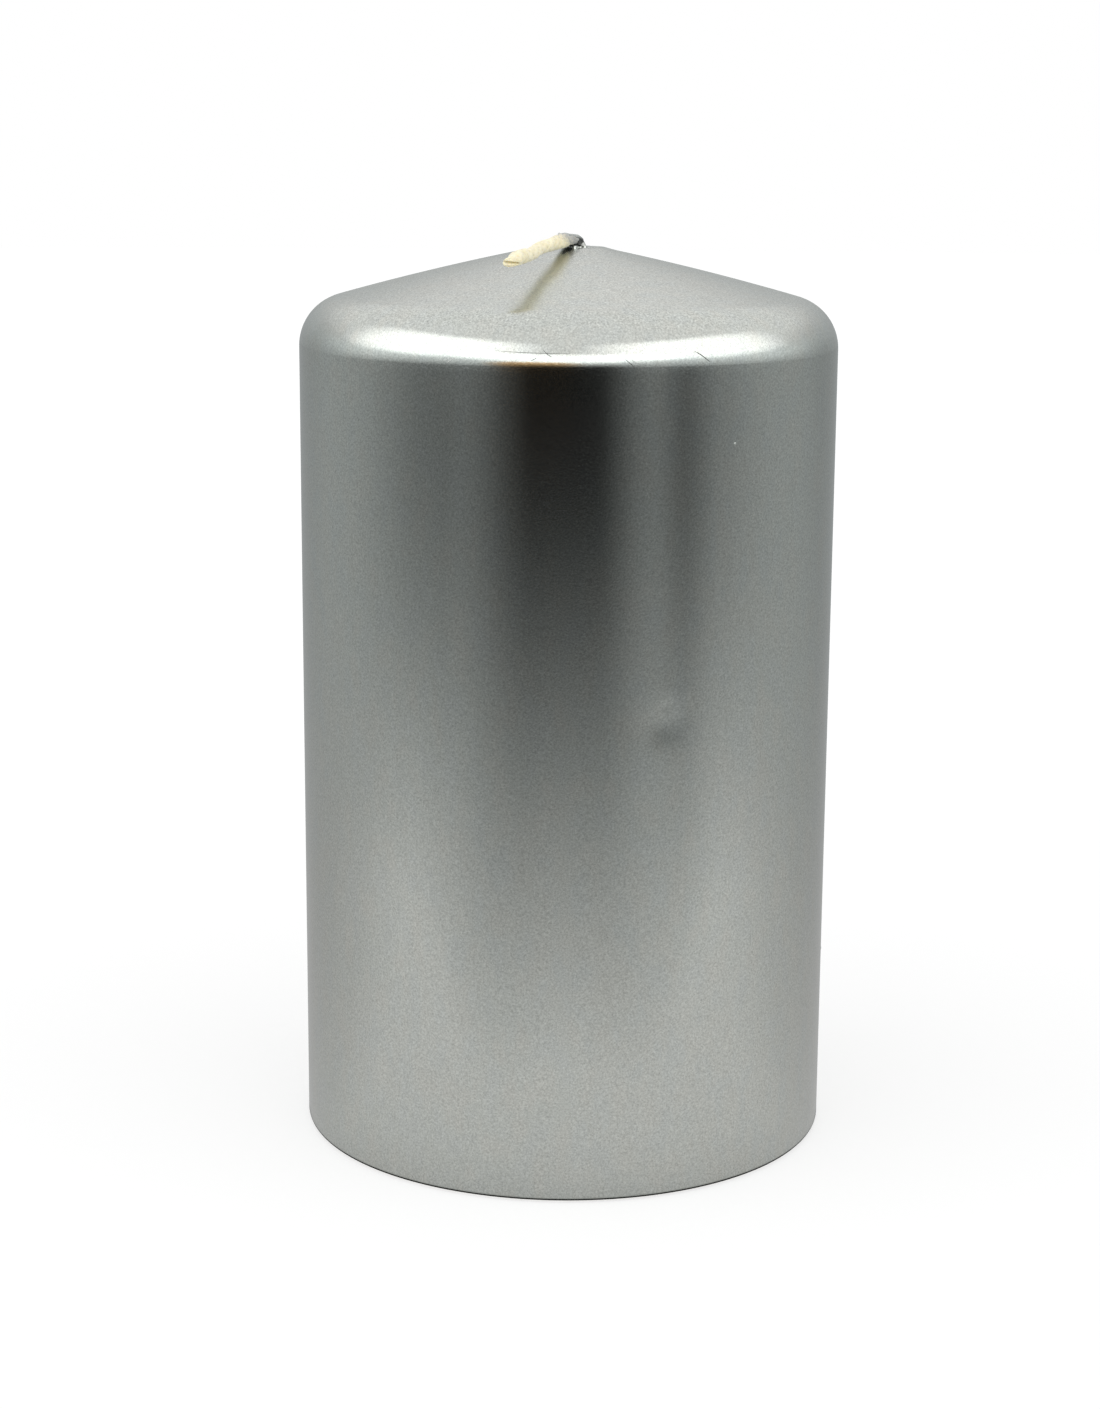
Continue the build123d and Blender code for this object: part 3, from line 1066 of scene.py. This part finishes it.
def make_sleeve():
    middle, _, outer, _, reach, rise = PATH
    first = int(np.searchsorted(rise[reach == 0], SLEEVE_START))
    last = int(np.searchsorted(reach, SLEEVE_END))
    cover = sleeve_cover(reach[first:last])
    surface = wick_rings(first, last, cover + WICK_SWELL, SLEEVE_SMOOTHING)
    core = middle[first:last, None] + (surface - middle[first:last, None]) * SLEEVE_CORE
    # Painted shade under the fold, which darkens the lacquer's colour
    painted_shade = painted_fold_shade(reach[first:last])
    pieces = Pieces()
    pieces.loop(np.concatenate([surface, core[::-1]]))
    nub_at = int(np.searchsorted(reach, NUB_REACH))
    pieces.tube(nub_rings(middle[nub_at] + outer[nub_at] * NUB_RISE + ACROSS * NUB_ACROSS))
    sleeve = mesh_object("wick_lacquer", pieces.vertices, pieces.faces, LACQUER)
    plain = np.zeros(len(pieces.vertices) - painted_shade.size)
    add_values(sleeve, "painted_shade", np.concatenate([painted_shade.ravel(), plain]))
    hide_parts("wick_sleeve")
    blend_wick(sleeve)


make_sleeve()


# ---------------------------------------------------------------- dried lacquer around the root

BEAD_SIDES = 180
BEAD_INNER = 0.80 * MM
BEAD_OUTER = 2.3 * MM
FILM = 0.045 * MM
LIP_SLOPE = 0.2
LIP = 0.04 * MM
RAGGED = 0.35 * MM
RAGGED_SCALE = 3.1
# Lobes of the dried pool: bearing and half width in degrees, extra reach and extra thickness in mm
LOBES = [
    (-4.0, 9.0, 2.3, 0.32), (19.0, 9.0, 1.0, 0.26), (-36.0, 16.0, 2.0, 0.12), (75.0, 26.0, 0.5, 0.01),
    (165.0, 40.0, 0.5, 0.05), (-120.0, 25.0, 0.6, 0.08),
]
# Painted shade on the pool next to the wick: its share, its middle bearing and half width in degrees, and
# the distances in from the pool's edge over which it fades out
PAINTED_SHADE_IN_POOL = 0.8
PAINTED_SHADE_BEARINGS = (-8.0, 45.0)
PAINTED_SHADE_INSIDE = (1.2 * MM, 0.4 * MM)
# How the pool climbs up the wick, except on the side to which the wick is folded
CLIMB = 0.75 * MM
CLIMB_RIPPLE = 0.35
CLIMB_UNDER_WICK = 0.05 * MM
CLIMB_SPREAD = 0.65 * MM
CLIMB_CURVE = 1.6
UNDER_WICK_WIDTH = 42.0
THICKENS_FROM = BEAD_INNER + 0.8 * MM
BEAD_STEPS = 60
BEAD_CROWDING = 2.2
BEAD_SINK = 0.01 * MM
BEAD_FLOOR = 116.6 * MM


def bearing_apart(bearing, middle):
    """Difference of two bearings, from -180 to 180 degrees."""
    return (bearing - middle + 180) % 360 - 180


def bead_outline(bearing):
    """Reach and thickness of the pool by bearing, in degrees from the front."""
    reach = np.full(len(bearing), BEAD_OUTER)
    film = np.full(len(bearing), FILM)
    for middle, width, extra, thicker in LOBES:
        apart = bearing_apart(bearing, middle)
        reach += extra * MM * bell(apart, 0, width)
        film += thicker * MM * bell(apart, 0, width)
    return reach, film


def bead_profile(share, outline, film, climb):
    """(distance from the wick's middle, height over the crown) at a share of the way out."""
    distance = BEAD_INNER + (outline - BEAD_INNER) * share
    climbing = climb * (1 - smoothstep(distance, BEAD_INNER, BEAD_INNER + CLIMB_SPREAD)) ** CLIMB_CURVE
    thickness = FILM + (film - FILM) * smoothstep(distance, THICKENS_FROM, outline)
    to_edge = np.clip((outline - distance) / (LIP_SLOPE * film + LIP), 0, 1)
    return distance, climbing + thickness * (1.5 * to_edge - 0.5 * to_edge**3)


def make_bead():
    bearing = np.linspace(-180, 180, BEAD_SIDES, endpoint=False)
    angle = np.radians(bearing) - math.pi / 2
    outline, film = bead_outline(bearing)
    outline = outline + RAGGED * noise_at([(math.cos(a), math.sin(a), 0) for a in angle], RAGGED_SCALE)
    wick_bearing = math.degrees(math.atan2(OUTWARD[0], -OUTWARD[1]))
    under = bell(bearing_apart(bearing, wick_bearing), 0, UNDER_WICK_WIDTH)
    ripple = noise_at([(math.cos(a) * 2, math.sin(a) * 2, 5) for a in angle])
    climb = CLIMB * (1 + CLIMB_RIPPLE * ripple) * (1 - under) + CLIMB_UNDER_WICK * under
    inside_from, inside_to = PAINTED_SHADE_INSIDE
    rings, painted_shade = [], []
    for share in 1 - (1 - np.linspace(0, 1, BEAD_STEPS)) ** BEAD_CROWDING:
        distance, over = bead_profile(share, outline, film, climb)
        x, y = WICK_X + distance * np.cos(angle), distance * np.sin(angle)
        rings.append(np.stack([x, y, crown_height(np.hypot(x, y)) + over - BEAD_SINK], axis=1))
        # Painted shade on the pool, inside its lip
        inside = 1 - smoothstep(distance, outline - inside_from, outline - inside_to)
        painted_shade.append(PAINTED_SHADE_IN_POOL * inside * bell(bearing, *PAINTED_SHADE_BEARINGS))
    floor = [ring * (1, 1, 0) + (0, 0, BEAD_FLOOR) for ring in (rings[-1], rings[0])]
    points = np.array(rings + floor)
    faces = ring_faces(len(points), BEAD_SIDES, closed=True)
    bead = mesh_object("lacquer_pool", points.reshape(-1, 3), faces, LACQUER)
    add_values(bead, "painted_shade", np.array(painted_shade + [np.zeros(BEAD_SIDES)] * len(floor)))
    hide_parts("lacquer_bead")
    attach(bead, "candle")


make_bead()


# ---------------------------------------------------------------- base: wax and tinplate


def wax_material(name, pale, deep, crystal_size, bump_strength):
    """Paraffin: cloudy crystals, with small pits between them."""
    material, n = new_material(name)
    place = n.place()
    crystal = n("ShaderNodeTexVoronoi", {"Vector": place, "Scale": 1 / crystal_size}).outputs
    cloud = n.noise(place, 110.0, 5.0, 0.6)
    tone = n("ShaderNodeSeparateColor", {0: crystal["Color"]}).outputs[0]
    share = n.blend(0.6, tone, cloud)
    height = n.math("SUBTRACT", cloud, crystal["Distance"])
    n.principled({
        "Base Color": n.mix(n.remap(share, 0.25, 0.75), deep, pale),
        "Roughness": n.remap(cloud, 0.3, 0.7, 0.38, 0.55),
        "Normal": n.bump(height, bump_strength, 0.2 * MM),
        "Subsurface Weight": 0.5,
        "Subsurface Radius": (1.0, 0.85, 0.6),
        "Subsurface Scale": 2.0 * MM,
    })
    return material


def tinplate_material():
    """Bright tinned sheet with fine rolling lines and dull spots."""
    material, n = new_material("tinplate")
    place = n.place()
    lines = n.noise(n.stretched(place, (1.0, 14.0, 1.0)), 900.0, 4.0)
    spots = n.noise(place, 700.0, 3.0)
    dullness = n.remap(spots, 0.5, 0.8, 0, 0.15)
    n.principled({
        "Base Color": n.mix(n.remap(spots, 0.4, 0.65), (0.60, 0.60, 0.58, 1), (0.74, 0.73, 0.70, 1)),
        "Metallic": 1.0,
        "Roughness": n.math("ADD", n.remap(lines, 0.3, 0.7, 0.18, 0.34), dullness),
        "Normal": n.bump(lines, 0.15, 0.02 * MM),
    })
    return material


def paint_node(node, material):
    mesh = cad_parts[node].data
    mesh.materials.clear()
    mesh.materials.append(material)


CORE_WAX = wax_material("core_wax", (0.88, 0.85, 0.77, 1), (0.76, 0.72, 0.62, 1), 1.6 * MM, 0.5)
JACKET_WAX = wax_material("jacket_wax", (0.82, 0.80, 0.74, 1), (0.72, 0.70, 0.63, 1), 0.5 * MM, 0.15)
paint_node("wax_core", CORE_WAX)
paint_node("wax_jacket", JACKET_WAX)

SUSTAINER_BOTTOM = corner("wick_sustainer", 0).z
SUSTAINER_TOP = corner("wick_sustainer", 1).z
SUSTAINER_RADIUS = (corner("wick_sustainer", 1).y - corner("wick_sustainer", 0).y) / 2
SHEET = 0.3 * MM
NECK_RADIUS = 1.35 * MM
NECK_BORE = 1.0 * MM
RIDGE_RADIUS = 4.6 * MM
RIDGE_HEIGHT = 0.12 * MM
CRIMPS = 4
CRIMP_DEPTH = 0.10 * MM
INNER_CRIMP = 0.3
SUSTAINER_SIDES = 96
NECK_BEND = 0.35 * MM
RIM_ROUND = 0.1 * MM
MOUTH_ROUND = 0.06 * MM
BORE_ROUND = 0.08 * MM


def sustainer_profile():
    """(r, z, crimp share) round the stamped sheet: along the disc, up the neck and down its bore."""
    low, high = SUSTAINER_BOTTOM, SUSTAINER_BOTTOM + SHEET
    reach = np.linspace(SUSTAINER_RADIUS - RIM_ROUND, NECK_RADIUS + NECK_BEND, 40)
    ridge = RIDGE_HEIGHT * bell(reach, RIDGE_RADIUS, 0.5 * MM)
    points = [(SUSTAINER_RADIUS, low + RIM_ROUND, 0), (SUSTAINER_RADIUS, high - RIM_ROUND, 0)]
    points += [(r, high + h, 0) for r, h in zip(reach, ridge)]
    for turn in np.linspace(0, math.pi / 2, 6)[1:]:
        r, z = NECK_RADIUS + NECK_BEND * (1 - math.sin(turn)), high + NECK_BEND * (1 - math.cos(turn))
        points.append((r, z, 0))
    neck = np.linspace(high + NECK_BEND, SUSTAINER_TOP - BORE_ROUND, 30)[1:]
    crimp = bell(neck, SUSTAINER_TOP - 2.0 * MM, 1.1 * MM)
    points += [(NECK_RADIUS, z, c) for z, c in zip(neck, crimp)]
    points += [(NECK_RADIUS - MOUTH_ROUND, SUSTAINER_TOP, 0), (NECK_BORE + MOUTH_ROUND, SUSTAINER_TOP, 0)]
    points += [(NECK_BORE, z, c) for z, c in zip(neck[::-1], crimp[::-1])]
    points += [(NECK_BORE, low + BORE_ROUND, 0), (NECK_BORE + BORE_ROUND, low, 0)]
    points += [(r, low + h, 0) for r, h in zip(reach[::-1], ridge[::-1])]
    return np.array(points)


def make_sustainer():
    profile = sustainer_profile()
    angles = turns(SUSTAINER_SIDES)
    press = CRIMP_DEPTH * profile[:, 2:] * np.maximum(np.cos(CRIMPS * angles), 0) ** 2
    outside = profile[:, :1] > (NECK_BORE + NECK_RADIUS) / 2
    radius = profile[:, :1] - press * outside - press * INNER_CRIMP
    height = np.repeat(profile[:, 1:2], SUSTAINER_SIDES, axis=1)
    points = np.stack([WICK_X + radius * np.cos(angles), radius * np.sin(angles), height], axis=2)
    faces = ring_faces(len(points), SUSTAINER_SIDES, closed=True)
    sustainer = mesh_object("sustainer", points.reshape(-1, 3), faces, tinplate_material())
    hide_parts("wick_sustainer")
    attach(sustainer, "candle")


make_sustainer()
